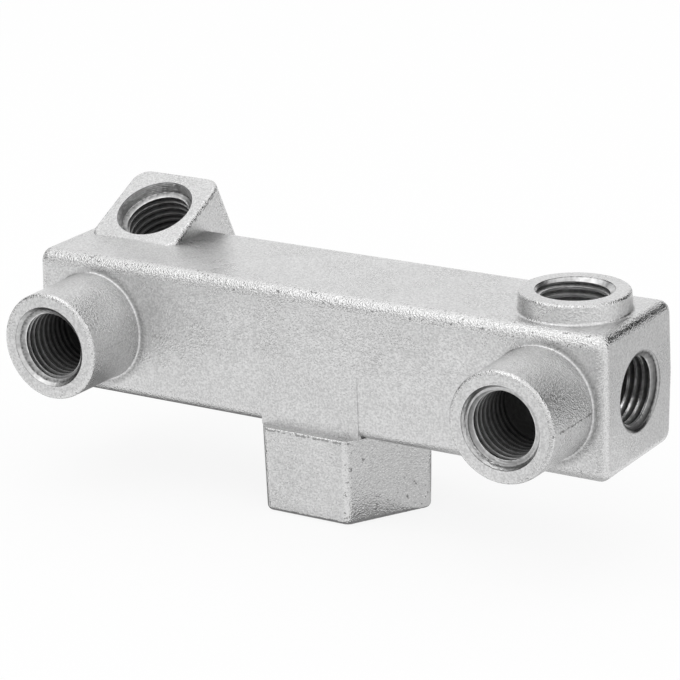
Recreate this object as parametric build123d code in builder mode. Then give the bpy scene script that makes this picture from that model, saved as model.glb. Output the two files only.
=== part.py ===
"""Cast air manifold block with six threaded ports.

One aluminium casting: a square bar with two round bosses on its front, a round boss on top,
a tilted square boss across its back edge and a hexagonal inlet boss underneath.
Units are millimetres. The origin is the centre of the hexagonal foot, +Z is up,
the bar runs along X and the two front ports face -Y.
"""

import os
from math import cos, radians, sin, tan

from build123d import *

# Bar: its sides lean in by the draft angle above and below the parting plane
bar_length = 112.4
bar_width = 25.0
bar_height = 25.0
draft_angle = 1.1
long_edge_radius = 2.4
end_edge_radius = 1.7

# Hexagonal inlet boss, wider than the bar, so that its top shows as a narrow ledge
foot_drop = 15.2
foot_across_flats = 28.1
foot_draft = 1.2
foot_corner_radius = 1.4
foot_edge_radius = 1.0
ledge_lift = 0.2

# Strip without draft on both sides of the bar above the inlet boss
pad_width = 19.3

# Round bosses of the two front ports
front_port_spacing = 88.8
front_boss_reach = 13.3
front_boss_diameter = 19.0
front_boss_draft = 0.6
boss_rim_radius = 0.7

# Round boss of the top port
top_port_x = 44.3
top_boss_diameter = 18.6
top_boss_draft = 3.5
top_boss_height = 3.4
top_rim_chamfer = 0.5

# Square boss of the tilted port: the middle of its face lies inside the bar's back and above its top
tilt_angle = 26.5
tilted_port_x = -44.3
tilted_face_inset = 5.3
tilted_face_rise = 3.9
tilted_boss_width = 18.1
tilted_boss_depth = 19.0
tilted_corner_radius = 3.0
tilted_rim_radius = 0.6

# Tapping bore and full diameter of the parallel pipe threads, a quarter inch and a half inch
port_bore = 11.445
port_major = 13.157
inlet_bore = 18.631
inlet_major = 20.955

# Countersinks: diameter on the face, depth of their edge at the thread's full diameter,
# and depth at which they reach the tapping bore
front_mouth_diameter = 14.3
left_edge_depth = 0.7
right_edge_depth = 0.95
front_lead_depth = 1.25
top_mouth_diameter = 13.3
top_edge_depth = 0.1
top_lead_depth = 0.95
end_mouth_diameter = 14.7
end_edge_depth = 0.3
end_lead_depth = 1.1
inlet_mouth_diameter = 22.0
inlet_edge_depth = 0.5
inlet_lead_depth = 1.6

# The tilted port has a wide recess in the countersink's place
tilted_mouth_diameter = 14.1
tilted_recess_diameter = 13.3
tilted_recess_depth = 1.9
tilted_lead_depth = 2.4

# Air passages inside the casting
drill_point_angle = 118.0
gallery_bore = 9.0
drill_stop_short = 2.0
end_bore_depth = 15.0
tilted_bore_depth = 14.5
inlet_bore_depth = 15.5
tilted_floor = 2.0
back_wall = 3.0

# Levels and planes worked out from the sizes above
bar_bottom = foot_drop
boss_embed = bar_width / 4
plane_tolerance = 0.001
bar_level = bar_bottom + bar_height / 2
bar_top = bar_bottom + bar_height
front_face_y = -(bar_width / 2 + front_boss_reach)
parting_plane = Plane.XY.offset(bar_level)

# Planes of the port mouths, each with its normal pointing out of the port
left_plane, right_plane = [
    Plane((side * front_port_spacing / 2, front_face_y, bar_level), x_dir=(1, 0, 0), z_dir=(0, -1, 0))
    for side in (-1, 1)
]
top_plane = Plane((top_port_x, 0, bar_top + top_boss_height))
end_plane = Plane((bar_length / 2, 0, bar_level), x_dir=(0, 1, 0), z_dir=(1, 0, 0))
inlet_plane = Plane((0, 0, 0), x_dir=(1, 0, 0), z_dir=(0, 0, -1))
tilted_plane = Plane(
    (tilted_port_x, bar_width / 2 - tilted_face_inset, bar_top + tilted_face_rise),
    x_dir=(1, 0, 0),
    z_dir=(0, -sin(radians(tilt_angle)), cos(radians(tilt_angle))),
)


def drill_point(diameter):
    """Height of the cone that a drill of this diameter leaves at the end of its hole."""
    return diameter / 2 / tan(radians(drill_point_angle / 2))


tilted_boss_length = tilted_bore_depth + drill_point(port_bore) + tilted_floor


def drilled_port(mouth_diameter, edge_depth, lead_depth, depth, edge_diameter=port_major, bore=port_bore):
    """Space of one port below its mouth: countersink or recess, tapping bore and drill point."""
    bore_radius = bore / 2
    with BuildPart() as port:
        with BuildSketch(Plane.XZ):
            with BuildLine():
                Polyline(
                    (0, 0),
                    (mouth_diameter / 2, 0),
                    (edge_diameter / 2, -edge_depth),
                    (bore_radius, -lead_depth),
                    (bore_radius, -depth),
                    (0, -depth - drill_point(bore)),
                    close=True,
                )
            make_face()
        revolve(axis=Axis.Z)
    return port.part


def drilled_passage(depth):
    """Space that the gallery drill leaves after going this deep."""
    radius = gallery_bore / 2
    with BuildPart() as passage:
        with BuildSketch(Plane.XZ):
            with BuildLine():
                Polyline(
                    (0, 0),
                    (radius, 0),
                    (radius, -depth),
                    (0, -depth - drill_point(gallery_bore)),
                    close=True,
                )
            make_face()
        revolve(axis=Axis.Z)
    return passage.part


def edges_on(part, plane):
    """Edges of the part that lie on the plane."""
    return part.edges().filter_by(lambda edge: abs(plane.to_local_coords(edge.center()).Z) < plane_tolerance)


# Depths from each mouth, and the spaces that the drills and taps leave
left_bore_depth = front_boss_reach + bar_width - back_wall
right_bore_depth = front_boss_reach + bar_width / 2 - drill_stop_short
top_bore_depth = top_boss_height + bar_height / 2 - drill_stop_short
drilled_spaces = {
    "front_left": (
        left_plane,
        drilled_port(front_mouth_diameter, left_edge_depth, front_lead_depth, left_bore_depth),
    ),
    "front_right": (
        right_plane,
        drilled_port(front_mouth_diameter, right_edge_depth, front_lead_depth, right_bore_depth),
    ),
    "top": (top_plane, drilled_port(top_mouth_diameter, top_edge_depth, top_lead_depth, top_bore_depth)),
    "tilted": (
        tilted_plane,
        drilled_port(
            tilted_mouth_diameter,
            tilted_recess_depth,
            tilted_lead_depth,
            tilted_bore_depth,
            edge_diameter=tilted_recess_diameter,
        ),
    ),
    "end": (end_plane, drilled_port(end_mouth_diameter, end_edge_depth, end_lead_depth, end_bore_depth)),
    "inlet": (
        inlet_plane,
        drilled_port(
            inlet_mouth_diameter,
            inlet_edge_depth,
            inlet_lead_depth,
            inlet_bore_depth,
            edge_diameter=inlet_major,
            bore=inlet_bore,
        ),
    ),
    "gallery": (end_plane, drilled_passage(bar_length / 2 + front_port_spacing / 2)),
    "inlet_passage": (inlet_plane, drilled_passage(bar_level - drill_stop_short)),
}

with BuildPart() as manifold_body:
    # Upper half of the bar, rounded along its long edges and then round its two ends
    with BuildSketch(parting_plane):
        Rectangle(bar_length, bar_width)
    extrude(amount=bar_height / 2, taper=draft_angle)
    top_edges = manifold_body.faces().sort_by(Axis.Z)[-1].edges()
    fillet(top_edges.filter_by(Axis.X), long_edge_radius)
    for end in (0, -1):
        end_face = manifold_body.faces().sort_by(Axis.X)[end]
        edges_above_parting = end_face.edges().sort_by(Axis.Z)[1:]
        fillet(edges_above_parting, end_edge_radius)

    # Lower half, from the other half of the die
    mirror(about=parting_plane)

    # Strip without draft on both sides, above the inlet boss
    with BuildSketch(parting_plane):
        Rectangle(pad_width, bar_width)
    extrude(amount=-bar_height / 2)

    # Hexagonal inlet boss
    with BuildSketch(Plane.XY) as foot:
        RegularPolygon(foot_across_flats / 2, 6, major_radius=False)
        fillet(foot.vertices(), foot_corner_radius)
    extrude(amount=foot_drop + ledge_lift, taper=-foot_draft)
    fillet(edges_on(manifold_body, Plane.XY), foot_edge_radius)

    # Round bosses of the two front ports
    for plane, end in ((left_plane, 0), (right_plane, -1)):
        with BuildSketch(plane):
            Circle(front_boss_diameter / 2)
        extrude(amount=-front_boss_reach - boss_embed, taper=-front_boss_draft)
        fillet(edges_on(manifold_body, plane).sort_by(Axis.X)[end], boss_rim_radius)

    # Round boss of the top port: its chamfered rim, and below that its drafted side
    with BuildSketch(top_plane):
        Circle(top_boss_diameter / 2 - top_rim_chamfer)
    extrude(amount=-top_rim_chamfer, taper=-45)
    with BuildSketch(top_plane.offset(-top_rim_chamfer)):
        Circle(top_boss_diameter / 2)
    extrude(amount=top_rim_chamfer - top_boss_height - boss_embed, taper=-top_boss_draft)

    # Square boss of the tilted port
    with BuildSketch(tilted_plane):
        RectangleRounded(tilted_boss_width, tilted_boss_depth, tilted_corner_radius)
    extrude(amount=-tilted_boss_length)
    fillet(edges_on(manifold_body, tilted_plane), tilted_rim_radius)

    # Ports, gallery and inlet passage
    for mouth_plane, space in drilled_spaces.values():
        with Locations(mouth_plane):
            add(space, mode=Mode.SUBTRACT)

manifold_body.part.label = "manifold_body"

os.makedirs("parts", exist_ok=True)
export_step(manifold_body.part, "parts/manifold_body.step")
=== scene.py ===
# %% [markdown]
# # An air manifold block in cast aluminium
# The imported CAD model is the fixed frame of this scene: it has every size of the casting and its six
# ports. Blender adds what the camera sees on the real object and the CAD leaves plain: the turns of the
# threads, the small round at the root of each round boss, and the grey, finely blasted skin of the metal.
# Everything is in metres and in the frame of the CAD, with the origin at the middle of the hexagonal
# foot.

from collections import namedtuple
from math import atan2, cos, pi, radians, sin, tan

import bmesh
import bpy
from mathutils import Matrix, Vector
from mathutils.bvhtree import BVHTree


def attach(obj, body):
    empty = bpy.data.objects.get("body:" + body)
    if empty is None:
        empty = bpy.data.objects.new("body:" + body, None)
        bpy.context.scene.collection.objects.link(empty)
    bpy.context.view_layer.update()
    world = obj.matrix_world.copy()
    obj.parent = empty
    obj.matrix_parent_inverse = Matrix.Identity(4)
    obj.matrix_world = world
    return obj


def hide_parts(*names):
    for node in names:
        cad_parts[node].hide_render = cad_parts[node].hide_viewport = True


MM = 0.001

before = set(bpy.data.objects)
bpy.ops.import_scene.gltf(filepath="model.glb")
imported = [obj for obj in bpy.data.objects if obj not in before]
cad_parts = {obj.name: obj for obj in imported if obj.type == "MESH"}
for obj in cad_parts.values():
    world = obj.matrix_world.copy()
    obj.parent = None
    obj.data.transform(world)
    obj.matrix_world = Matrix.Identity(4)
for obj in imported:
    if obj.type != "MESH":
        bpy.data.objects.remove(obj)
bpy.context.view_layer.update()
bpy.context.scene.view_settings.view_transform = "Standard"

# %% [markdown]
# ## The camera
# The photograph was taken with a long lens from the right, a little above the block. Seven numbers say
# where the camera stood: they were solved from edges and circles measured in the photograph. A camera
# looks along its own -Z, so the three columns of its matrix are its right, its up and its back direction.

# %% Camera at the photograph's angle
CAMERA_AZIMUTH = radians(32.3187)
CAMERA_ELEVATION = radians(18.3765)
CAMERA_ROLL = radians(-1.6969)
CAMERA_DISTANCE = 533.983 * MM
CAMERA_SIDESTEP = (-1.0912 * MM, 0.3273 * MM)
CAMERA_LENS = 164.593
CAMERA_SENSOR = 36
BAR_LEVEL = 27.7 * MM

back = Vector((
    sin(CAMERA_AZIMUTH) * cos(CAMERA_ELEVATION),
    -cos(CAMERA_AZIMUTH) * cos(CAMERA_ELEVATION),
    sin(CAMERA_ELEVATION),
))
level_right = Vector((cos(CAMERA_AZIMUTH), sin(CAMERA_AZIMUTH), 0))
level_up = back.cross(level_right)
right = level_right * cos(CAMERA_ROLL) + level_up * sin(CAMERA_ROLL)
up = level_up * cos(CAMERA_ROLL) - level_right * sin(CAMERA_ROLL)
place = Vector((0, 0, BAR_LEVEL)) + back * CAMERA_DISTANCE
place += right * CAMERA_SIDESTEP[0] + up * CAMERA_SIDESTEP[1]

bpy.ops.object.camera_add()
camera = bpy.context.object
camera.name = "studio_camera"
camera.data.lens = CAMERA_LENS
camera.data.sensor_width = CAMERA_SENSOR
camera.data.clip_start = 10 * MM
camera.matrix_world = Matrix.Translation(place) @ Matrix((right, up, back)).transposed().to_4x4()
bpy.context.scene.camera = camera
print("camera stands at, mm:", [round(value / MM, 1) for value in place])

# %% [markdown]
# ## Helpers for modelling
# An operator acts on all that is selected, so each step starts from an empty selection. These small
# helpers do the selecting: one makes a single object active, the others pick vertices or edges by where
# they lie.

# %% How close two places count as the same
NEAR = 0.02 * MM


# %% Select one piece, or some of its parts
def only(piece):
    """Leaves this one piece selected and active."""
    bpy.ops.object.select_all(action="DESELECT")
    piece.select_set(True)
    bpy.context.view_layer.objects.active = piece


def select(piece, kind, wanted):
    """In edit mode, selects the vertices or edges for which wanted is true, and returns their number."""
    bpy.ops.mesh.select_mode(type=kind)
    bpy.ops.mesh.select_all(action="DESELECT")
    mesh = bmesh.from_edit_mesh(piece.data)
    found = [item for item in (mesh.verts if kind == "VERT" else mesh.edges) if wanted(item)]
    for item in found:
        item.select_set(True)
    mesh.select_flush_mode()
    bmesh.update_edit_mesh(piece.data)
    return len(found)


def round_edges(piece, wanted, size, segments):
    """In edit mode, bevels the edges for which wanted is true, and returns their number."""
    count = select(piece, "EDGE", wanted)
    bpy.ops.mesh.bevel(offset=size, segments=segments, profile=0.5, affect="EDGES", clamp_overlap=False)
    return count


# %% Tell edges by their direction, place and fold
ALIGNED = 0.9


def direction(edge):
    """Unit vector along an edge."""
    return (edge.verts[1].co - edge.verts[0].co).normalized()


def is_upright(edge):
    """Does this edge run up and down?"""
    return abs(direction(edge).z) > ALIGNED


def is_on_ground(edge):
    """Does this edge lie at height 0?"""
    return all(abs(vertex.co.z) < NEAR for vertex in edge.verts)


def fold(edge):
    """Angle between the two faces of an edge, 0 where they lie flat."""
    return edge.calc_face_angle(0)


# %% [markdown]
# ## Joining and cutting
# A Boolean modifier welds two closed solids into one, or cuts one from the other. The exact solver keeps
# flat faces flat, and so the edges that it makes can be bevelled afterwards. Vertices that it leaves
# almost on top of each other are merged, so that each cut starts from a clean solid.

# %% Weld and cut
MERGE_DISTANCE = 0.0005 * MM


def apply_all(piece):
    """Applies every modifier of the piece, in order."""
    only(piece)
    for modifier in list(piece.modifiers):
        bpy.ops.object.modifier_apply(modifier=modifier.name)


def combine(piece, tool, operation):
    """Welds the tool to the piece (UNION) or cuts it away (DIFFERENCE), and removes the tool."""
    boolean = piece.modifiers.new("combine", "BOOLEAN")
    boolean.operation = operation
    boolean.solver = "EXACT"
    boolean.object = tool
    apply_all(piece)
    bpy.data.objects.remove(tool)
    bpy.ops.object.mode_set(mode="EDIT")
    bpy.ops.mesh.select_all(action="SELECT")
    bpy.ops.mesh.remove_doubles(threshold=MERGE_DISTANCE)
    bpy.ops.object.mode_set(mode="OBJECT")


def settle(piece):
    """Puts the piece's place, turn and scale into its mesh."""
    only(piece)
    bpy.ops.object.transform_apply(location=True, rotation=True, scale=True)


# %% [markdown]
# ## The bar
# The block is one die casting. The die opens up and down, so each side of the bar leans in by the draft
# angle above and below the parting plane, or the casting would stick in it. A cube is stretched to the
# bar's size and cut at the parting plane. Its top and its bottom are then drawn in by the draft, and
# bevels round the edges. Each size is the CAD's, so that this piece can stand for the CAD node.

# %% Sizes of the bar
DRAFT = radians(1.1)
BAR_SIZE = Vector((112.4, 25, 25)) * MM
DRAWN_IN = BAR_SIZE.z / 2 * tan(DRAFT)
LONG_EDGE_ROUND = 2.36 * MM
END_EDGE_ROUND = 1.69 * MM
BAR_TOP = BAR_LEVEL + BAR_SIZE.z / 2
SHARP_FOLD = radians(40)


# %% Add a box of a given size
def add_box(name, low, high):
    """A box between two corners, with its place in its mesh."""
    bpy.ops.object.select_all(action="DESELECT")
    bpy.ops.mesh.primitive_cube_add(
        size=1, location=(Vector(low) + Vector(high)) / 2, scale=Vector(high) - Vector(low)
    )
    bpy.context.object.name = name
    settle(bpy.context.object)
    return bpy.context.object


# %% Bar with draft and rounded edges
half = BAR_SIZE / 2
middle = Vector((0, 0, BAR_LEVEL))


def is_long_edge(edge):
    """Does this edge run along the bar, above or below the parting plane?"""
    return abs(direction(edge).x) > ALIGNED and abs(edge.verts[0].co.z - BAR_LEVEL) > NEAR


def is_end_edge(edge):
    """Is this a sharp edge round one of the bar's two ends?"""
    at_end = all(abs(vertex.co.x) > half.x - DRAWN_IN - NEAR for vertex in edge.verts)
    return at_end and fold(edge) > SHARP_FOLD


casting = add_box("manifold_casting", middle - half, middle + half)
casting.data.name = "manifold_casting"
bpy.ops.object.mode_set(mode="EDIT")
bpy.ops.mesh.select_all(action="SELECT")
bpy.ops.mesh.bisect(plane_co=middle, plane_no=(0, 0, 1))
for side in (-1, 1):
    select(casting, "VERT", lambda vertex: (vertex.co.z - BAR_LEVEL) * side > NEAR)
    bpy.ops.transform.resize(
        value=(1 - DRAWN_IN / half.x, 1 - DRAWN_IN / half.y, 1), center_override=(0, 0, BAR_LEVEL)
    )
long_edges = round_edges(casting, is_long_edge, LONG_EDGE_ROUND, segments=10)
end_edges = round_edges(casting, is_end_edge, END_EDGE_ROUND, segments=8)
bpy.ops.object.mode_set(mode="OBJECT")
print("bar:", long_edges, "long and", end_edges, "end edges rounded,", len(casting.data.polygons), "faces")

# %% [markdown]
# ## The hexagonal inlet boss
# A spanner holds this hexagon while the supply line is screwed in from below. It is a cylinder with six
# sides, a little wider at the top for the draft, with its corners and its foot rounded. It is wider than
# the bar, so its top shows as a narrow ledge. Above it the bar has a strip without draft, which is a
# plain box sunk into it.

# %% Hexagon and strip
FOOT_APOTHEM = 14.05 * MM
FOOT_HEIGHT = 15.4 * MM
FOOT_DRAFT = radians(1.2)
FOOT_CORNER_ROUND = 0.9 * MM
FOOT_EDGE_ROUND = 0.98 * MM
PAD_HALF_WIDTH = 9.65 * MM

bpy.ops.object.select_all(action="DESELECT")
bpy.ops.mesh.primitive_cylinder_add(
    vertices=6, radius=FOOT_APOTHEM / cos(pi / 6), depth=FOOT_HEIGHT, location=(0, 0, FOOT_HEIGHT / 2)
)
foot = bpy.context.object
foot.rotation_euler.z = pi / 2
settle(foot)
bpy.ops.object.mode_set(mode="EDIT")
widened = 1 + FOOT_HEIGHT * tan(FOOT_DRAFT) / FOOT_APOTHEM
select(foot, "VERT", lambda vertex: vertex.co.z > FOOT_HEIGHT / 2)
bpy.ops.transform.resize(value=(widened, widened, 1), center_override=(0, 0, FOOT_HEIGHT))
round_edges(foot, is_upright, FOOT_CORNER_ROUND, segments=5)
round_edges(foot, is_on_ground, FOOT_EDGE_ROUND, segments=6)
bpy.ops.object.mode_set(mode="OBJECT")
combine(casting, foot, "UNION")
pad_low = (-PAD_HALF_WIDTH, -half.y, BAR_LEVEL - half.z)
pad_high = (PAD_HALF_WIDTH, half.y, BAR_LEVEL - NEAR)
pad = add_box("pad", pad_low, pad_high)
combine(casting, pad, "UNION")
print("bar with its hexagon:", len(casting.data.polygons), "faces")

# %% [markdown]
# ## The round bosses
# Two bosses reach out of the front and a low one stands on top. Each is a cone with a very small taper,
# its rim rounded. It is sunk deep into the bar before it is welded, so that the cut between them is
# clean. Molten metal doesn't fill a sharp inside corner, so a boss widens in a small round at its root.
# The top boss gets this round before it is welded, ring by ring, because its root lies so close to the
# bar's rounded edges that a bevel there would run into them.

# %% Turned boss
BOSS_SIDES = 96
FRONT_BOSS_X = 44.4 * MM
FRONT_FACE_Y = -25.8 * MM
FRONT_BOSS_RADIUS = 9.5 * MM
FRONT_BOSS_DRAFT = radians(0.6)
FRONT_RIM_ROUND = 0.7 * MM
TOP_BOSS_X = 44.3 * MM
TOP_BOSS_RADIUS = 9.3 * MM
TOP_BOSS_DRAFT = radians(3.5)
TOP_RIM_ROUND = 0.5 * MM
TOP_FACE_Z = 43.6 * MM
SUNK = 6.25 * MM


def turned_boss(name, radius, draft, length, rim_round):
    """A boss that stands on its wide end, with a rounded rim and the middle of its face at the origin."""
    bpy.ops.object.select_all(action="DESELECT")
    bpy.ops.mesh.primitive_cone_add(
        vertices=BOSS_SIDES,
        radius1=radius + length * tan(draft),
        radius2=radius,
        depth=length,
        location=(0, 0, -length / 2),
    )
    boss = bpy.context.object
    boss.name = name
    settle(boss)
    bpy.ops.object.mode_set(mode="EDIT")
    round_edges(boss, is_on_ground, rim_round, segments=6)
    bpy.ops.object.mode_set(mode="OBJECT")
    return boss


# %% Two front bosses
FRONT_LENGTH = -half.y - FRONT_FACE_Y + SUNK

for side in (-1, 1):
    boss = turned_boss("front_boss", FRONT_BOSS_RADIUS, FRONT_BOSS_DRAFT, FRONT_LENGTH, FRONT_RIM_ROUND)
    boss.rotation_euler.x = pi / 2
    boss.location = (side * FRONT_BOSS_X, FRONT_FACE_Y, BAR_LEVEL)
    settle(boss)
    combine(casting, boss, "UNION")
print("bar with its front bosses:", len(casting.data.polygons), "faces")


# %% Top boss, with its root turned on it
TOP_HEIGHT = TOP_FACE_Z - BAR_TOP
TOP_ROOT = 0.5 * MM
ROOT_STEPS = 5
ON_RING = 0.001 * MM

root_rings = []
for step in range(ROOT_STEPS + 1):
    lean = step * pi / 2 / ROOT_STEPS
    root_rings.append((-TOP_HEIGHT + TOP_ROOT * (1 - sin(lean)), TOP_ROOT * (1 - cos(lean))))
# The last ring dips just under the bar's top, so that the weld finds no faces that only touch
root_rings[-1] = (root_rings[-1][0] - NEAR, root_rings[-1][1] + 2 * NEAR)

boss = turned_boss("top_boss", TOP_BOSS_RADIUS, TOP_BOSS_DRAFT, TOP_HEIGHT + SUNK, TOP_RIM_ROUND)
bpy.ops.object.mode_set(mode="EDIT")
for level, widening in root_rings:
    bpy.ops.mesh.select_all(action="SELECT")
    bpy.ops.mesh.bisect(plane_co=(0, 0, level), plane_no=(0, 0, 1))
for level, widening in root_rings:
    select(boss, "VERT", lambda vertex: abs(vertex.co.z - level) < ON_RING)
    radius = TOP_BOSS_RADIUS - level * tan(TOP_BOSS_DRAFT)
    grown = (radius + widening) / radius
    bpy.ops.transform.resize(value=(grown, grown, 1), center_override=(0, 0, level))
bpy.ops.object.mode_set(mode="OBJECT")
boss.location = (TOP_BOSS_X, 0, TOP_FACE_Z)
settle(boss)
combine(casting, boss, "UNION")
print("top boss:", len(root_rings), "rings in its root")

# %% [markdown]
# ## The tilted boss
# At the left a square boss leans forward through the bar's back edge, so that its fitting points up and
# to the front. It is a box with four round corners and a round rim. A matrix whose third column is the
# port's axis tilts it into place.

# %% Square boss at its tilt
TILT = radians(26.5)
TILTED_MOUTH = Vector((-44.3, 7.2, 44.1)) * MM
TILTED_HALF = (9.05 * MM, 9.5 * MM)
TILTED_LENGTH = 19.94 * MM
TILTED_CORNER_ROUND = 3.0 * MM
TILTED_RIM_ROUND = 0.6 * MM

tilted_axis = Vector((0, -sin(TILT), cos(TILT)))
tilted_place = (
    Matrix.Translation(TILTED_MOUTH)
    @ Matrix(((1, 0, 0), (0, cos(TILT), sin(TILT)), tilted_axis)).transposed().to_4x4()
)
boss = add_box("tilted_boss", (-TILTED_HALF[0], -TILTED_HALF[1], -TILTED_LENGTH), (*TILTED_HALF, 0))
bpy.ops.object.mode_set(mode="EDIT")
round_edges(boss, is_upright, TILTED_CORNER_ROUND, segments=10)
round_edges(boss, is_on_ground, TILTED_RIM_ROUND, segments=6)
bpy.ops.object.mode_set(mode="OBJECT")
boss.matrix_world = tilted_place
settle(boss)
combine(casting, boss, "UNION")
print("casting before drilling:", len(casting.data.polygons), "faces")

# %% [markdown]
# ## Drilling the ports
# The six ports are machined after casting: a drill, a wider relief for the first turns and a bevel at the
# mouth. Each drilled space is modelled as it would be turned: a circle is extruded from station to
# station down the bore, and scaled at each one to the radius there. The solid is then cut from the
# casting.

# %% Sizes of the ports
Port = namedtuple("Port", "mouth axis thread mouth_width edge_width edge_depth lead_depth depth")

THREADS = {
    "quarter": {"pitch": 1.337 * MM, "crest": 5.7225 * MM, "root": 6.5785 * MM},
    "half": {"pitch": 1.814 * MM, "crest": 9.3155 * MM, "root": 10.4775 * MM},
}
GALLERY_RADIUS = 4.5 * MM
BORE_SIDES = 96
DRILL_POINT = radians(59)

# All in mm: the middle of the mouth, its axis, the thread, the diameters of the mouth and of the edge in
# its countersink, and the depths of this edge, of the countersink and of the bore
ports = {
    "front_left": Port((-44.4, -25.8, 27.7), (0, -1, 0), "quarter", 14.3, 13.157, 0.7, 1.25, 35.3),
    "front_right": Port((44.4, -25.8, 27.7), (0, -1, 0), "quarter", 14.3, 13.157, 0.95, 1.25, 23.8),
    "top": Port((44.3, 0, 43.6), (0, 0, 1), "quarter", 13.3, 13.157, 0.1, 0.95, 13.9),
    "tilted": Port((-44.3, 7.2, 44.1), tuple(tilted_axis), "quarter", 14.1, 13.3, 1.9, 2.4, 14.5),
    "end": Port((56.2, 0, 27.7), (1, 0, 0), "quarter", 14.7, 13.157, 0.3, 1.1, 15.0),
    "inlet": Port((0, 0, 0), (0, 0, -1), "half", 22.0, 20.955, 0.5, 1.6, 15.5),
}

# Depth in mm of the two passages that go on from the bottom of a port
passages = {"end": 100.6, "inlet": 25.7}


# %% A drilled space
def port_place(mouth, axis):
    """Matrix that puts something modelled along Z at a port's mouth."""
    turn = Vector(axis).to_track_quat("Z", "Y").to_matrix().to_4x4()
    return Matrix.Translation(Vector(mouth) * MM) @ turn


def drilled_space(port, stations):
    """A solid turned through the stations (depth, radius), from above the mouth to the drill's point."""
    bpy.ops.object.select_all(action="DESELECT")
    bpy.ops.mesh.primitive_circle_add(
        vertices=BORE_SIDES, radius=stations[0][1], fill_type="NGON", location=(0, 0, -stations[0][0])
    )
    space = bpy.context.object
    settle(space)
    bpy.ops.object.mode_set(mode="EDIT")
    bpy.ops.mesh.select_all(action="SELECT")
    depth, radius = stations[0]
    for next_depth, next_radius in stations[1:]:
        bpy.ops.mesh.extrude_region_move(TRANSFORM_OT_translate={"value": (0, 0, depth - next_depth)})
        bpy.ops.transform.resize(
            value=(next_radius / radius, next_radius / radius, 1), center_override=(0, 0, -next_depth)
        )
        depth, radius = next_depth, next_radius
    bpy.ops.mesh.merge(type="CENTER")
    bpy.ops.mesh.select_all(action="SELECT")
    bpy.ops.mesh.normals_make_consistent(inside=False)
    bpy.ops.object.mode_set(mode="OBJECT")
    space.matrix_world = port_place(port.mouth, port.axis)
    settle(space)
    return space


# %% Stations of a hole
TIP_SHARE = 0.1
RING_WIDTH = 0.14 * MM


def drill_end(depth, radius):
    """Stations where the drill's point starts, and near its tip: the last one is merged into the tip."""
    return [(depth, radius), (depth + (1 - TIP_SHARE) * radius / tan(DRILL_POINT), TIP_SHARE * radius)]


def with_rings(stations, depths):
    """The stations with more of them at these depths, on the same outline."""
    extra = []
    for (depth, radius), (next_depth, next_radius) in zip(stations, stations[1:]):
        for level in depths:
            if depth + NEAR < level < next_depth - NEAR:
                share = (level - depth) / (next_depth - depth)
                extra.append((level, radius + share * (next_radius - radius)))
    return sorted(set(stations + extra))


# %% [markdown]
# ## Rings for the dark lines
# A thin dark ring is painted at each edge of a countersink. Its colour will be stored in the vertices, so
# the drilled space gets extra rings of them there, close enough together for a thin line.

# %% Drill the six ports and the two passages
ABOVE_PORT = 0.3 * MM
ABOVE_PASSAGE = 2 * MM

for port in ports.values():
    crest = THREADS[port.thread]["crest"]
    edge_depth = port.edge_depth * MM
    slope = (port.mouth_width - port.edge_width) / 2 / port.edge_depth
    stations = [
        (-ABOVE_PORT, port.mouth_width / 2 * MM + slope * ABOVE_PORT),
        (edge_depth, port.edge_width / 2 * MM),
        (port.lead_depth * MM, crest),
        *drill_end(port.depth * MM, crest),
    ]
    rings = (min(RING_WIDTH, edge_depth / 2), edge_depth - RING_WIDTH, edge_depth + RING_WIDTH / 2)
    combine(casting, drilled_space(port, with_rings(stations, rings)), "DIFFERENCE")

for name, depth in passages.items():
    stations = [(ABOVE_PASSAGE, GALLERY_RADIUS), *drill_end(depth * MM, GALLERY_RADIUS)]
    combine(casting, drilled_space(ports[name], stations), "DIFFERENCE")
print("drilled casting:", len(casting.data.polygons), "faces")

# %% [markdown]
# ## Tapping the threads
# A tap's tooth is a rounded V that travels one pitch for each turn. So the groove is made as the tap
# makes it: a small plate with the outline of the tooth is carried round the port's axis by a Screw
# modifier, and the solid coil that it sweeps is cut from the casting.

# %% Sizes of the tap's tooth, and where each thread starts
STEPS_PER_TURN = 64
GROOVE_SHARE = 0.83
ROOT_SHARE = 0.2
INSIDE_CREST = 0.2 * MM

# name: depth of the first groove in mm, on the wall of the port that the camera sees, and turns
taps = {
    "front_left": (1.67, 9),
    "front_right": (1.05, 9),
    "top": (1.0, 6),
    "tilted": (1.73, 8),
    "end": (0.47, 7),
    "inlet": (0.7, 7),
}


# %% One tap's groove
def tooth(name, pitch, crest, root):
    """Outline of the tap's tooth, in the XZ plane at its distance from the axis."""
    inner = crest - INSIDE_CREST
    bpy.ops.object.select_all(action="DESELECT")
    bpy.ops.mesh.primitive_plane_add(size=1)
    outline = bpy.context.object
    outline.name = name
    bpy.ops.object.mode_set(mode="EDIT")
    bpy.ops.mesh.select_all(action="SELECT")
    bpy.ops.transform.resize(value=(root - inner, GROOVE_SHARE * pitch, 1), center_override=(0, 0, 0))
    bpy.ops.transform.translate(value=((root + inner) / 2, 0, 0))
    select(outline, "VERT", lambda vertex: vertex.co.x > crest)
    bpy.ops.transform.resize(value=(1, ROOT_SHARE, 1), center_override=(root, 0, 0))
    bpy.ops.mesh.select_all(action="SELECT")
    bpy.ops.transform.rotate(value=pi / 2, orient_axis="X", center_override=(0, 0, 0))
    bpy.ops.mesh.delete(type="ONLY_FACE")
    bpy.ops.object.mode_set(mode="OBJECT")
    return outline


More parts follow.
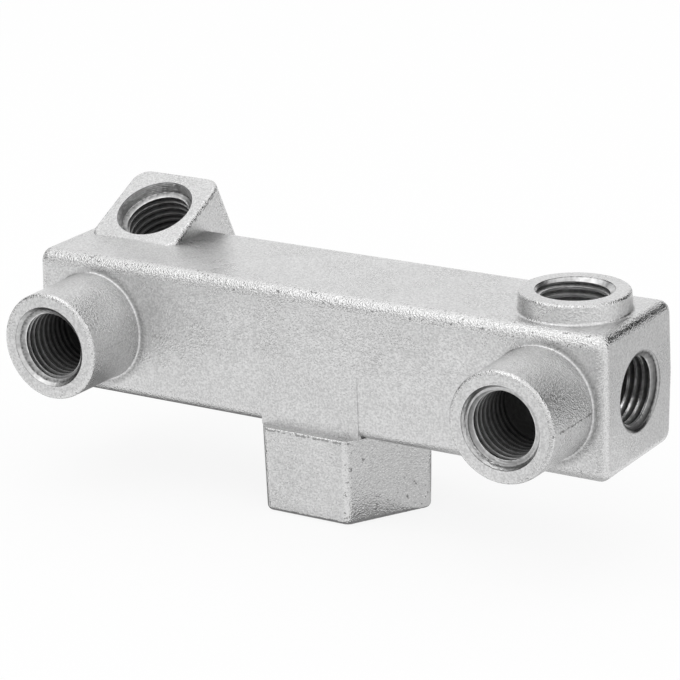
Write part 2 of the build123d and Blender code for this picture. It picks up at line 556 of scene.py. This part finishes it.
def tap_groove(name):
    """The coil that the tap's tooth sweeps in this port."""
    seen_depth, turns = taps[name]
    port = ports[name]
    pitch, crest, root = THREADS[port.thread].values()
    groove = tooth("groove_" + name, pitch, crest, root)
    screw = groove.modifiers.new("tap", "SCREW")
    screw.angle = 2 * pi
    screw.screw_offset = pitch
    screw.iterations = turns
    screw.steps = STEPS_PER_TURN
    screw.render_steps = STEPS_PER_TURN
    apply_all(groove)
    towards_camera = port_place((0, 0, 0), port.axis).inverted() @ back
    groove.matrix_world = (
        port_place(port.mouth, port.axis)
        @ Matrix.Translation((0, 0, -(seen_depth * MM - pitch / 2) - turns * pitch))
        @ Matrix.Rotation(atan2(towards_camera.y, towards_camera.x), 4, "Z")
    )
    settle(groove)
    bpy.ops.object.mode_set(mode="EDIT")
    bpy.ops.mesh.select_all(action="SELECT")
    bpy.ops.mesh.fill_holes(sides=0)
    bpy.ops.mesh.select_all(action="SELECT")
    bpy.ops.mesh.normals_make_consistent(inside=False)
    bpy.ops.object.mode_set(mode="OBJECT")
    return groove


for name in taps:
    combine(casting, tap_groove(name), "DIFFERENCE")
print("threaded casting:", len(casting.data.polygons), "faces")

# %% [markdown]
# ## Rounding the roots and the ledge
# In the photograph a thin bright line runs round the root of each front boss: it is the small round
# there, which mirrors the softbox. The hexagon's ledge has a rounded rim as well. Both come last, as
# bevels on the rings of edges that the welds left, because a weld or a cut across a fine bevel would
# break it.

# %% Round the roots of the front bosses, and the ledge
ROOT_ROUND = 0.32 * MM
LEDGE_ROUND = 0.25 * MM
LEDGE_CLEARANCE = 1 * MM
CREASE = 0.3


def at_front_root(point, boss_x):
    """Is this point on the ring where a front boss meets the bar?"""
    face = -half.y + abs(point.z - BAR_LEVEL) * tan(DRAFT)
    off_axis = Vector((point.x - boss_x, point.z - BAR_LEVEL)).length
    radius = FRONT_BOSS_RADIUS + (face - FRONT_FACE_Y) * tan(FRONT_BOSS_DRAFT)
    return abs(point.y - face) < NEAR and abs(off_axis - radius) < 2 * NEAR


def at_ledge_rim(point):
    """Is this point on the hexagon's top edge, outside the bar?"""
    return abs(point.z - FOOT_HEIGHT) < NEAR and abs(point.y) > half.y + LEDGE_CLEARANCE


def round_ring(at_ring, size, segments):
    """Bevels the folded edges whose two ends are both on the ring, and returns their number."""

    def on_ring(edge):
        return all(at_ring(vertex.co) for vertex in edge.verts) and fold(edge) > CREASE

    only(casting)
    bpy.ops.object.mode_set(mode="EDIT")
    count = round_edges(casting, on_ring, size, segments)
    bpy.ops.object.mode_set(mode="OBJECT")
    return count


for side in (-1, 1):
    count = round_ring(lambda point: at_front_root(point, side * FRONT_BOSS_X), ROOT_ROUND, segments=4)
    print("root of a front boss:", count, "edges rounded")
print("ledge:", round_ring(at_ledge_rim, LEDGE_ROUND, segments=8), "edges rounded")

# %% [markdown]
# ## Does it match the CAD?
# The new piece stands for the CAD node, so it has to be where the node is. The distance from its vertices
# to the CAD's surface tells. The grooves, which the CAD leaves out, are all inside the ports, so the
# vertices there aren't compared. Of the others, only those on the small rounds may lie more than a few
# hundredths of a millimetre off.

# %% Measure the distance to the CAD
BREAKTHROUGH = 6 * MM

cad_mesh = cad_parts["manifold_body"].data
cad_tree = BVHTree.FromPolygons(
    [vertex.co for vertex in cad_mesh.vertices], [polygon.vertices for polygon in cad_mesh.polygons]
)


def off_port_axis(port, point):
    """Depth of a point below a port's mouth, and its distance from the port's axis."""
    off = point - Vector(port.mouth) * MM
    depth = -off.dot(Vector(port.axis))
    return depth, (off + depth * Vector(port.axis)).length


def port_of(point, margin):
    """Name of the port in whose bore a point lies, deeper than the margin, or None."""
    for name, port in ports.items():
        depth, aside = off_port_axis(port, point)
        if margin < depth < port.depth * MM + BREAKTHROUGH and aside < port.mouth_width / 2 * MM + NEAR:
            return name
    return None


outside = [vertex.co for vertex in casting.data.vertices if not port_of(vertex.co, NEAR)]
gaps = sorted(cad_tree.find_nearest(point)[3] / MM for point in outside)
print("off the CAD, mm: median", round(gaps[len(gaps) // 2], 3), "most", round(gaps[-1], 3))

# %% [markdown]
# ## Where the edges are worn
# Some finishes follow the shape, and a pattern in space can't find them. A casting is rubbed bright on
# its rounded edges. A rounded edge is told by its strips: each turns more from its neighbour than the
# facets of a large round boss do, and less than a sharp edge does. The wear is stored in the corners of
# these faces, where the material reads it, and fades towards the flat faces beside them.

# %% Wear on rounded edges
STRIP_STEPS = (radians(8.2), radians(20))
BORDER_WEAR = 0.4

mesh = bmesh.new()
mesh.from_mesh(casting.data)
rounded = {
    face.index
    for face in mesh.faces
    if any(STRIP_STEPS[0] < edge.calc_face_angle_signed(0) < STRIP_STEPS[1] for edge in face.edges)
}
mesh.free()
flat_corners = {
    vertex for face in casting.data.polygons if face.index not in rounded for vertex in face.vertices
}
edge_wear = casting.data.attributes.new("edge_wear", "FLOAT", "CORNER")
for face in casting.data.polygons:
    for corner in face.loop_indices:
        at_border = casting.data.loops[corner].vertex_index in flat_corners
        wear_here = BORDER_WEAR if at_border else 1.0
        edge_wear.data[corner].value = wear_here if face.index in rounded else 0.0
print("rounded strips:", len(rounded), "of", len(casting.data.polygons), "faces")

# %% [markdown]
# ## How the metal is painted down a port
# The cut metal at the mouth is bright, and deeper in it is painted darker, most of all in the grooves:
# this is painted shade, where the port and the turns of its thread get little light. Thin dark rings are
# painted at the edges of a countersink, and the crests of the thread are painted lighter, a painted
# highlight. Four numbers for each vertex say all this: the grey, the way along the turned surface, the
# dark rings and the crests.

# %% Painted greys and dark rings, by depth in mm
# Painted light and shade: the grey of each port by depth, set to its tones and mostly darker deeper in
FRONT_GREYS = ((0.0, 0.66), (1.1, 0.6), (1.8, 0.34), (4.0, 0.2), (7.0, 0.1), (11.0, 0.05))
greys = {
    "front_left": FRONT_GREYS,
    "front_right": FRONT_GREYS,
    "top": ((0.0, 0.74), (0.8, 0.78), (1.3, 0.86), (6.0, 0.78), (12.0, 0.4)),
    "tilted": ((0.0, 0.95), (1.85, 0.9), (2.0, 0.5), (2.6, 0.5), (3.0, 0.34), (6.0, 0.18), (11.0, 0.05)),
    "end": ((0.0, 0.62), (0.3, 0.5), (0.45, 0.26), (1.0, 0.32), (1.6, 0.58), (7.0, 0.5), (12.0, 0.08)),
    "inlet": ((0.0, 0.66), (1.6, 0.6), (6.0, 0.2), (12.0, 0.06)),
}
# Depths in mm of the thin dark rings painted in each port
dark_rings = {
    "front_left": (0.0, 0.7),
    "front_right": (0.0,),
    "top": (0.0,),
    "tilted": (1.9,),
    "end": (0.0, 0.3),
    "inlet": (0.0,),
}
# Painted shade in the grooves: the share by which they are darker than the crests
GROOVE_SHADE = 0.6
EDGE_FADE = 0.3
RING_FREE_WALL = 0.3


# %% Grey and dirt at a point
def clip(value):
    """The value, kept between 0 and 1."""
    return min(max(value, 0.0), 1.0)


def grey_at(name, depth, aside):
    """Painted grey at this depth in the port: painted shade, less in the grooves than on the crests."""
    steps = greys[name]
    grey = steps[-1][1]
    for (low, low_grey), (high, high_grey) in zip(steps, steps[1:]):
        if depth < high:
            grey = low_grey + (high_grey - low_grey) * max(0.0, depth - low) / (high - low)
            break
    crest, root = [THREADS[ports[name].thread][key] / MM for key in ("crest", "root")]
    in_groove = clip((aside - crest) / (root - crest))
    below_edge = clip((depth - ports[name].edge_depth) / EDGE_FADE)
    return grey * (1 - GROOVE_SHADE * in_groove * below_edge)


def dark_ring_at(name, depth, aside):
    """1 on the thin dark rings, at the mouth or at the countersink's edge, and 0 elsewhere."""
    if aside < THREADS[ports[name].thread]["crest"] / MM + RING_FREE_WALL:
        return 0.0
    off_ring = min(abs(depth - ring) for ring in dark_rings[name])
    return clip(2 * (1 - off_ring / (RING_WIDTH / MM)))


def is_crest(name, depth, aside):
    """Is this point on a crest of the thread, below the countersink?"""
    crest = THREADS[ports[name].thread]["crest"]
    return aside < crest + NEAR and depth > ports[name].lead_depth * MM - NEAR


# %% Store the four numbers
PORT_VALUES = ("port_grey", "port_depth", "port_line", "port_crest")

# A new attribute can move the others' data, so all are made before the first value is written
for value_name in PORT_VALUES:
    casting.data.attributes.new(value_name, "FLOAT", "POINT")
port_values = [casting.data.attributes[value_name].data for value_name in PORT_VALUES]
stored_count = 0
for vertex in casting.data.vertices:
    name = port_of(vertex.co, -NEAR)
    if name:
        depth, aside = off_port_axis(ports[name], vertex.co)
        numbers = (
            grey_at(name, depth / MM, aside / MM),
            (depth + aside) / MM,
            dark_ring_at(name, depth / MM, aside / MM),
            float(is_crest(name, depth, aside)),
        )
        for data, number in zip(port_values, numbers):
            data[vertex.index].value = number
        stored_count += 1
print("values in the ports:", stored_count, "vertices")

# %% [markdown]
# ## Building a material
# A material is a small network. These helpers add a node with its settings and join two sockets, so that
# each finish below reads as a short list of what lies on the metal. All patterns use the object's own
# coordinates, so they stay on the metal however it is turned.


# %% Add nodes
def new_material(name, colour, roughness):
    """A metal whose colour and roughness start on the shader's own sockets."""
    material = bpy.data.materials.new(name)
    material.use_nodes = True
    shader = material.node_tree.nodes["Principled BSDF"]
    shader.inputs["Base Color"].default_value = (*colour, 1)
    shader.inputs["Metallic"].default_value = 1
    shader.inputs["Roughness"].default_value = roughness
    return material, shader


def add_node(material, kind, inputs=None, **settings):
    """Adds a node, joins or sets its inputs by name or number, and sets its settings by name."""
    node = material.node_tree.nodes.new(kind)
    for name, value in settings.items():
        setattr(node, name, value)
    for name, value in (inputs or {}).items():
        if isinstance(value, bpy.types.NodeSocket):
            material.node_tree.links.new(value, node.inputs[name])
        else:
            node.inputs[name].default_value = value
    return node


def object_place(material):
    """Place on the object, as a vector in metres."""
    return add_node(material, "ShaderNodeTexCoord").outputs["Object"]


def stored(material, name):
    """A value that the mesh stores under this name."""
    return add_node(material, "ShaderNodeAttribute", attribute_name=name).outputs["Fac"]


# %% Arithmetic with nodes: each operand is a number or a socket
def arithmetic(material, operation, first, second=0.0):
    """Output of a Math node."""
    return add_node(material, "ShaderNodeMath", {0: first, 1: second}, operation=operation).outputs[0]


def product(material, first, *others):
    """All the values multiplied."""
    for other in others:
        first = arithmetic(material, "MULTIPLY", first, other)
    return first


def off_level(material, value, level):
    """How far a value is from this level."""
    return arithmetic(material, "ABSOLUTE", arithmetic(material, "SUBTRACT", value, level))


def below(material, value, limit):
    """1 where the value is less than the limit, and 0 elsewhere."""
    return arithmetic(material, "LESS_THAN", value, limit)


def above(material, value, limit):
    """1 where the value is more than the limit, and 0 elsewhere."""
    return arithmetic(material, "GREATER_THAN", value, limit)


def spread(material, value, low, high, to_low=0.0, to_high=1.0):
    """Maps the range low..high of a value to another range, and clips what lies outside."""
    return add_node(
        material,
        "ShaderNodeMapRange",
        {"Value": value, "From Min": low, "From Max": high, "To Min": to_low, "To Max": to_high},
    ).outputs["Result"]


# %% Patterns, colours and relief
def grain(material, size, detail=2.0, roughness=0.5):
    """Noise between 0 and 1 with grains of about this size."""
    return add_node(
        material,
        "ShaderNodeTexNoise",
        {"Vector": object_place(material), "Scale": 1 / size, "Detail": detail, "Roughness": roughness},
    ).outputs["Fac"]


def cells(material, size):
    """Round cells of about this size: the distance from each one's middle, and a colour of its own."""
    inputs = {"Vector": object_place(material), "Scale": 1 / size}
    return add_node(material, "ShaderNodeTexVoronoi", inputs).outputs


def paint(material, under, share, grey):
    """Covers this share of the grey underneath with another one."""
    node = add_node(material, "ShaderNodeMix", data_type="RGBA")
    for number, value in ((0, share), (6, under)):
        material.node_tree.links.new(value, node.inputs[number])
    node.inputs[7].default_value = (grey, grey, grey, 1)
    return node.outputs[2]


def raise_surface(material, height, distance, under=None):
    """Bump of this height; under is the normal of a bump beneath it."""
    inputs = {"Height": height, "Distance": distance, "Strength": 1.0}
    if under:
        inputs["Normal"] = under
    return add_node(material, "ShaderNodeBump", inputs).outputs["Normal"]


# %% [markdown]
# ## The cast skin
# The casting was blasted with grit after it left the die. Each grain left a small dent, so the skin is
# even grey from afar, and close up it looks like salt. Round cells give the dents, two sizes of noise the
# soft waves under them and the lighter and darker grains, and larger patches vary the grey a little.
# Sparse dark pores are left from the casting. The rounded edges are rubbed bright, but not evenly, and
# knocks left small dark nicks in them.

# %% Grains, pores and wear
cast_skin, skin_shader = new_material("cast_skin", (0.62, 0.62, 0.625), 0.28)
skin_axes = add_node(cast_skin, "ShaderNodeSeparateXYZ", {0: object_place(cast_skin)}).outputs

dents = cells(cast_skin, 0.27 * MM)["Distance"]
waves = grain(cast_skin, 0.6 * MM, detail=1.0)
salt = grain(cast_skin, 0.36 * MM, detail=1.0)
patches = grain(cast_skin, 9 * MM, detail=4.0, roughness=0.6)
pore_cells = cells(cast_skin, 1.5 * MM)
pore_sizes = spread(cast_skin, pore_cells["Color"], 0.6, 1.0, 0.0, 0.2)
pores = below(cast_skin, pore_cells["Distance"], pore_sizes)

wear = stored(cast_skin, "edge_wear")
rubbed = product(cast_skin, wear, spread(cast_skin, grain(cast_skin, 0.4 * MM, detail=3.0), 0.42, 0.62))
nicks = product(
    cast_skin,
    spread(cast_skin, grain(cast_skin, 0.6 * MM, detail=3.0), 0.36, 0.31),
    spread(cast_skin, wear, 0.5, 0.9, 0.0, 0.8),
    spread(cast_skin, skin_axes["X"], half.x - 3 * MM, half.x - 2 * MM, 1.0, 0.0),
)
print("cast skin:", len(cast_skin.node_tree.nodes), "nodes so far")

# %% [markdown]
# ## Lines that the die leaves
# Metal creeps into the seam between the two halves of the die, and is trimmed off after casting. What is
# left is a thin, broken dark line in the parting plane. It shows best on the side of the right boss, and
# faintly on the front at the far left. The tilted boss has such a line on its right side, just below its
# face, and the hexagon has one below its ledge. One ragged width, from noise, breaks up all of them.

# %% Flash line, and the two fainter lines
LINE_WIDTH = 0.24 * MM
FLASH_FADE = (-16 * MM, -12 * MM)
FRONT_FLASH = 0.2
RIGHT_BOSS_FLASH = 0.85
FAINT_LINE = 0.7
TRIM_DEPTH = 0.7 * MM
LEDGE_LINE_DEPTH = 0.35 * MM
LINE_MARGIN = 0.2 * MM

ragged = spread(cast_skin, grain(cast_skin, 0.7 * MM, detail=4.0), 0.42, 0.58, 0.0, LINE_WIDTH)
on_boss = below(cast_skin, skin_axes["Y"], -half.y - 0.5 * MM)
behind_face = above(cast_skin, skin_axes["Y"], FRONT_FACE_Y + LINE_MARGIN)
flash_share = add_node(
    cast_skin,
    "ShaderNodeMix",
    {
        0: on_boss,
        2: spread(cast_skin, skin_axes["X"], *FLASH_FADE, FRONT_FLASH, 0.0),
        3: spread(cast_skin, skin_axes["X"], -1 * MM, 1 * MM, FRONT_FLASH, RIGHT_BOSS_FLASH),
    },
).outputs[0]
in_parting = below(cast_skin, off_level(cast_skin, skin_axes["Z"], BAR_LEVEL), ragged)
flash = product(cast_skin, in_parting, flash_share, behind_face)

along_tilt = add_node(
    cast_skin,
    "ShaderNodeVectorMath",
    {0: object_place(cast_skin), 1: tilted_axis},
    operation="DOT_PRODUCT",
).outputs["Value"]
trim_level = TILTED_MOUTH.dot(tilted_axis) - TRIM_DEPTH
trimmed = product(
    cast_skin,
    below(cast_skin, off_level(cast_skin, along_tilt, trim_level), ragged),
    below(cast_skin, off_level(cast_skin, skin_axes["X"], TILTED_MOUTH.x + TILTED_HALF[0]), LINE_MARGIN),
    above(cast_skin, skin_axes["Z"], BAR_TOP + LINE_MARGIN),
)
ledge_line = product(
    cast_skin,
    below(cast_skin, off_level(cast_skin, skin_axes["Z"], FOOT_HEIGHT - LEDGE_LINE_DEPTH), ragged),
    below(cast_skin, skin_axes["Y"], -half.y - 1.2 * MM),
)
faint_lines = product(cast_skin, arithmetic(cast_skin, "MAXIMUM", trimmed, ledge_line), FAINT_LINE)
lines = arithmetic(cast_skin, "MAXIMUM", flash, faint_lines)
print("cast skin:", len(cast_skin.node_tree.nodes), "nodes so far")

# %% [markdown]
# ## Painted shade round the bosses
# Just outside the root of each front boss the flat metal is painted darker, in a ring of painted shade.
# The distance from the boss's axis finds the ring, and the sign of X tells the two bosses apart: the
# painted shade lies on the right of each, as the photograph shows.

# %% A ring of painted shade on the right of each front boss
ROOT_SHADE_IN = (9.9 * MM, 10.2 * MM)
ROOT_SHADE_OUT = (10.4 * MM, 11.4 * MM)
ROOT_SHADE_FADE = 2 * MM

mirrored_place = add_node(
    cast_skin,
    "ShaderNodeCombineXYZ",
    {0: arithmetic(cast_skin, "ABSOLUTE", skin_axes["X"]), 2: skin_axes["Z"]},
).outputs[0]
off_boss = add_node(
    cast_skin,
    "ShaderNodeVectorMath",
    {0: mirrored_place, 1: (FRONT_BOSS_X, 0, BAR_LEVEL)},
    operation="DISTANCE",
).outputs["Value"]
right_of_right, past_left = [
    spread(cast_skin, skin_axes["X"], boss_x - ROOT_SHADE_FADE, boss_x + ROOT_SHADE_FADE)
    for boss_x in (FRONT_BOSS_X, -FRONT_BOSS_X)
]
right_of_left = product(cast_skin, past_left, below(cast_skin, skin_axes["X"], 0.0))
# Painted shade: a darker ring on the bar just outside the root of each front boss
painted_root_shade = product(
    cast_skin,
    spread(cast_skin, off_boss, *ROOT_SHADE_IN),
    spread(cast_skin, off_boss, *ROOT_SHADE_OUT, 1.0, 0.0),
    arithmetic(cast_skin, "MAXIMUM", right_of_left, right_of_right),
    below(cast_skin, skin_axes["Y"], -half.y + 0.6 * MM),
    spread(cast_skin, grain(cast_skin, 0.4 * MM, detail=3.0), 0.35, 0.65, 0.25, 0.75),
)
print("cast skin:", len(cast_skin.node_tree.nodes), "nodes so far")

# %% [markdown]
# ## Colour, gloss and relief of the skin
# The marks are painted one over the other, in the order in which they got onto the metal, and the ring of
# painted shade round the front bosses is painted in among them, before the die's lines. The gloss varies
# with the patches, and the rubbed edges shine more. The dents are deepest on the sides of the front
# bosses, where the photograph shows the roughest skin. On the worn edges they are halfway between that
# and the rest of the skin, except on the upright edge at the right.

# %% Paint the layers
skin_grey = product(
    cast_skin,
    spread(cast_skin, patches, 0.35, 0.65, 0.68, 0.75),
    spread(cast_skin, salt, 0.35, 0.65, 0.82, 1.06),
)
for share, grey in (
    (product(cast_skin, pores, 0.45), 0.25),
    (spread(cast_skin, dents, 0.3, 0.0, 0.0, 0.3), 0.42),
    (rubbed, 0.72),
    (nicks, 0.15),
    # painted shade round the roots of the front bosses
    (painted_root_shade, 0.24),
    (lines, 0.2),
):
    skin_grey = paint(cast_skin, skin_grey, share, grey)

# %% Gloss and dents
DENT_DEPTHS = (0.058 * MM, 0.1 * MM)
WAVE_DEPTH = 0.035 * MM
EDGE_DENTS = 0.5

skin_roughness = arithmetic(
    cast_skin,
    "SUBTRACT",
    spread(cast_skin, patches, 0.35, 0.65, 0.26, 0.32),
    product(cast_skin, wear, 0.08),
)
boss_side = product(cast_skin, on_boss, below(cast_skin, wear, 0.1), behind_face)
upright_edge = product(
    cast_skin,
    above(cast_skin, skin_axes["X"], half.x - 2.2 * MM),
    below(cast_skin, skin_axes["Z"], BAR_TOP - 2.6 * MM),
)
worn_edge = product(cast_skin, wear, spread(cast_skin, upright_edge, 0.0, 1.0, EDGE_DENTS, 0.0))
rougher = arithmetic(cast_skin, "MAXIMUM", boss_side, worn_edge)
dent_depth = spread(cast_skin, rougher, 0.0, 1.0, *DENT_DEPTHS)
skin_relief = raise_surface(cast_skin, dents, dent_depth, raise_surface(cast_skin, waves, WAVE_DEPTH))

for value, socket in ((skin_grey, "Base Color"), (skin_roughness, "Roughness"), (skin_relief, "Normal")):
    cast_skin.node_tree.links.new(value, skin_shader.inputs[socket])
print("cast skin:", len(cast_skin.node_tree.nodes), "nodes")

# %% [markdown]
# ## The cut metal in the ports
# The drills and the taps left bright metal with fine rings round the port's axis. Deeper in, the colour
# is painted darker with the grey that the mesh stores, as painted shade in the port and its grooves, and
# where it is almost black the surface stops being bare metal and stops shining. The crests of the thread
# are painted lighter than the rest, a painted highlight.

# %% Material of the ports
RING_STEP = 0.28
CREST_HIGHLIGHT = 1.7
DARK_RING_COVER = 0.85

cut_metal, cut_shader = new_material("cut_metal", (0.5, 0.5, 0.5), 0.3)
# Painted shade: the stored grey darkens the port with depth and in its grooves
cut_grey = stored(cut_metal, "port_grey")
rings = product(cut_metal, stored(cut_metal, "port_depth"), 2 * pi / RING_STEP)
turned = arithmetic(cut_metal, "SINE", rings)
worn = spread(cut_metal, grain(cut_metal, 0.8 * MM, detail=4.0), 0.35, 0.65, 0.8, 1.1)
# Painted highlight: the crests of the thread are painted lighter
crest_highlight = spread(cut_metal, stored(cut_metal, "port_crest"), 0.7, 1.0, 1.0, CREST_HIGHLIGHT)
dark_ring = product(
    cut_metal,
    stored(cut_metal, "port_line"),
    spread(cut_metal, grain(cut_metal, 0.5 * MM, detail=4.0), 0.35, 0.65, 0.45, 1.0),
)
clear_of_rings = arithmetic(cut_metal, "SUBTRACT", 1.0, product(cut_metal, dark_ring, DARK_RING_COVER))
scratched = raise_surface(cut_metal, turned, 0.006 * MM)
for value, socket in (
    (product(cut_metal, cut_grey, worn, crest_highlight, clear_of_rings), "Base Color"),
    (spread(cut_metal, cut_grey, 0.03, 0.2), "Metallic"),
    (spread(cut_metal, cut_grey, 0.03, 0.2, 0.0, 0.5), "Specular IOR Level"),
    (spread(cut_metal, cut_grey, 0.03, 0.4, 0.8, 0.28), "Roughness"),
    (raise_surface(cut_metal, grain(cut_metal, 0.4 * MM), 0.05 * MM, scratched), "Normal"),
):
    cut_metal.node_tree.links.new(value, cut_shader.inputs[socket])
print("cut metal:", len(cut_metal.node_tree.nodes), "nodes")

# %% [markdown]
# ## Skin outside, cut metal inside
# Each face whose vertices all lie in a bore is cut metal, and all others are cast skin. The shading is
# smooth over the rounded strips and sharp at the machined edges, and a Weighted Normal modifier keeps the
# large flat faces flat beside their rounds. The finished piece rides on the root body and takes the place
# of the CAD node.

# %% Put the materials on the casting
SMOOTH_ANGLE = radians(32)

for material in (cast_skin, cut_metal):
    casting.data.materials.append(material)
in_bore = [port_of(vertex.co, -5 * NEAR) is not None for vertex in casting.data.vertices]
for face in casting.data.polygons:
    face.material_index = int(all(in_bore[vertex] for vertex in face.vertices))
only(casting)
bpy.ops.object.shade_smooth_by_angle(angle=SMOOTH_ANGLE)
weighted = casting.modifiers.new("flat_faces", "WEIGHTED_NORMAL")
weighted.keep_sharp = True
apply_all(casting)
cut_faces = sum(face.material_index for face in casting.data.polygons)
print("cut faces:", cut_faces, "cast faces:", len(casting.data.polygons) - cut_faces)

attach(casting, "root")
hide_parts("manifold_body")

# %% [markdown]
# ## Floor and backdrop
# The photograph has a pure white ground. A white floor would do, but the lamps would have to burn it out,
# and the metal with it. So the camera and the reflections see mostly a plain white of strength 1, with
# some of the lit floor mixed in, which keeps a soft shadow under the block.

# %% Floor
WHITE_SHARE = 0.85


def show(material, shader_node):
    """Makes this node the material's surface."""
    output = material.node_tree.nodes["Material Output"]
    material.node_tree.links.new(shader_node.outputs[0], output.inputs["Surface"])


bpy.ops.object.select_all(action="DESELECT")
bpy.ops.mesh.primitive_plane_add(size=6)
floor = bpy.context.object
floor.name = "studio_floor"
paper = bpy.data.materials.new("white_paper")
paper.use_nodes = True
paper_shader = paper.node_tree.nodes["Principled BSDF"]
paper_shader.inputs["Base Color"].default_value = (0.9, 0.9, 0.9, 1)
paper_shader.inputs["Roughness"].default_value = 0.9
paper_shader.inputs["Specular IOR Level"].default_value = 0
rays = add_node(paper, "ShaderNodeLightPath").outputs
mirrored = arithmetic(paper, "MAXIMUM", rays["Is Glossy Ray"], rays["Is Transmission Ray"])
seen = arithmetic(paper, "MAXIMUM", rays["Is Camera Ray"], mirrored)
white = add_node(paper, "ShaderNodeEmission", {"Color": (1, 1, 1, 1), "Strength": 1.0})
mixed = add_node(
    paper,
    "ShaderNodeMixShader",
    {0: product(paper, seen, WHITE_SHARE), 1: paper_shader.outputs[0], 2: white.outputs[0]},
)
show(paper, mixed)
floor.data.materials.append(paper)

# %% Backdrop
world = bpy.data.worlds.new("studio")
bpy.context.scene.world = world
world.use_nodes = True
world.node_tree.nodes["Background"].inputs["Color"].default_value = (1, 1, 1, 1)
world.node_tree.nodes["Background"].inputs["Strength"].default_value = 1.0

# %% [markdown]
# ## Light
# Metal has hardly any colour of its own: it looks like what it mirrors. In a white room it would be flat
# and pale. A large softbox overhead gives the bright edges, and dark cards that the camera doesn't see
# give the shaded ones, as photographers do with bottles and cutlery. Each card hangs where the metal that
# has to be darker mirrors it. Four cards lie on the floor: the sides of the bosses, the hexagon and the
# bar's lower edge mirror them. The darkest of them lies under the bar and is a painted shadow: it stands
# in for the bar's shadow there, where the metal mirrors the floor.


# %% Softboxes and cards
def aim(thing, target=Vector((0, 0, 0.028))):
    """Turns a lamp or a card so that it faces the block."""
    thing.rotation_euler = (target - thing.location).to_track_quat("-Z", "Y").to_euler()


def add_softbox(name, location, size, glow):
    """A square area lamp; its glow is how bright it looks, where white paper is 1."""
    bpy.ops.object.light_add(type="AREA", location=location)
    softbox = bpy.context.object
    softbox.name = name
    softbox.data.size = size
    softbox.data.energy = glow * pi * size * size
    aim(softbox)


def add_card(name, location, size, grey):
    """A card of this grey that only reflections see, facing the block."""
    bpy.ops.object.select_all(action="DESELECT")
    bpy.ops.mesh.primitive_plane_add(size=1, location=location)
    card = bpy.context.object
    card.name = name
    card.scale = (*size, 1)
    aim(card)
    card.visible_camera = False
    card.visible_diffuse = False
    card.visible_shadow = False
    material = bpy.data.materials.new(name)
    material.use_nodes = True
    glow = add_node(material, "ShaderNodeEmission", {"Color": (1, 1, 1, 1), "Strength": grey})
    show(material, glow)
    card.data.materials.append(material)
    return card


# %% Hang them
softboxes = {
    "overhead_softbox": ((-0.15, -0.2, 0.6), 0.5, 0.6),
    "right_softbox": ((0.55, 0.05, 0.3), 0.25, 0.6),
}
hung_cards = {
    "card_behind_right": ((0.333, 0.466, 0.25), (0.65, 0.5), 0.03),
    "card_front_left": ((-0.45, -0.55, 0.12), (0.9, 0.3), 0.4),
    "card_left": ((-0.68, 0.0, 0.3), (0.4, 0.44), 0.02),
}
floor_cards = {
    "card_in_front": ((0.15, -0.16, 0.0005), (0.22, 0.24), 0.62),
    "card_by_the_foot": ((0.0385, -0.005, 0.0005), (0.047, 0.034), 0.62),
    "card_behind_the_end": ((0.18, 0.1675, 0.0005), (0.24, 0.265), 0.68),
    # painted shadow: a dark card where the bar's shadow falls, which only reflections see
    "shadow_card_under_the_bar": ((-0.0225, 0.008, 0.0003), (0.105, 0.045), 0.25),
}
for name, values in softboxes.items():
    add_softbox(name, *values)
for name, values in hung_cards.items():
    add_card(name, *values)
for name, values in floor_cards.items():
    floor_card = add_card(name, *values)
    floor_card.rotation_euler = (0, 0, 0)
print("studio:", len(softboxes), "softboxes,", len(hung_cards) + len(floor_cards), "cards")
